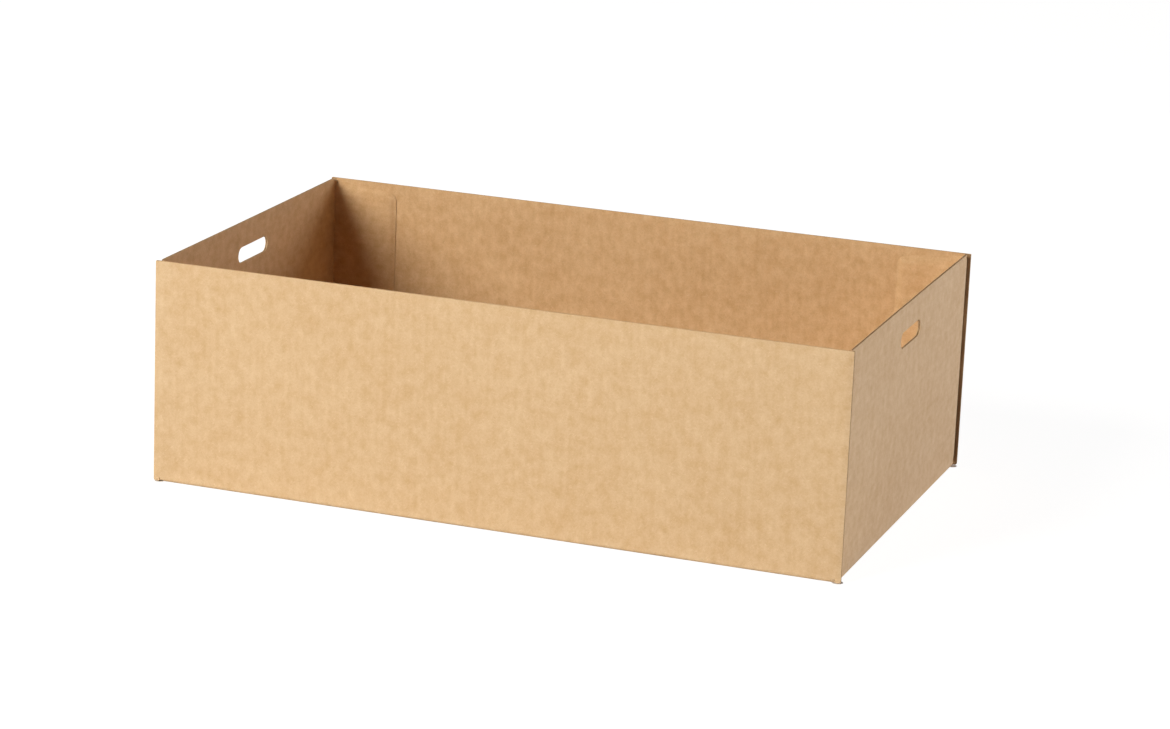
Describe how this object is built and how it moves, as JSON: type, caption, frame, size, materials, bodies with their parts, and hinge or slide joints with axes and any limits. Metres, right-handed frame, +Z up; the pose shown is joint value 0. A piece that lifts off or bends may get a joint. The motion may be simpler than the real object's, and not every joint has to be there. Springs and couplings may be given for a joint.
{
  "type": "cardboard tray box",
  "caption": "Open-top rectangular tray folded from one sheet of kraft corrugated board, with glued corner flaps inside the long walls and a finger slot in each end wall.",
  "frame": {"origin": "middle of the underside, on the surface that the tray stands on", "axes": "+X along the long walls, +Y from the front long wall to the back one, +Z up out of the open top"},
  "size_m": [0.32, 0.194, 0.1015],
  "materials": {
    "kraft_board": "matte"
  },
  "bodies": {
    "root": {"folded_tray": "kraft_board"}
  },
  "joints": []
}
